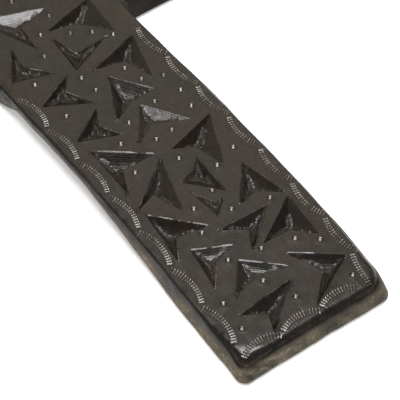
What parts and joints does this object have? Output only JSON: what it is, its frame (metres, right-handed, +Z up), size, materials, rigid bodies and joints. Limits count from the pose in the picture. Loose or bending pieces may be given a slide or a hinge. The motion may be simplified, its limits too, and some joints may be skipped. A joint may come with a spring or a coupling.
{
  "type": "ceramic wall cross",
  "caption": "Flat Latin wall cross in burnished black clay, carved with three-pointed chips, pressed dimples and ribbed scallop borders; hangs on a nail.",
  "frame": {"origin": "middle of the nail recess's mouth, on the flat back, 38 mm below the top", "axes": "+Z up the cross's long arm as it hangs, +Y out of the back into the wall, +X to the right as the carved face is seen"},
  "size_m": [0.21, 0.014, 0.3007],
  "materials": {
    "black_clay": "fired black clay, burnished to a satin sheen, with rough unburnished clay in the deep cuts"
  },
  "bodies": {
    "root": {"cross_body": "black_clay"}
  },
  "joints": []
}
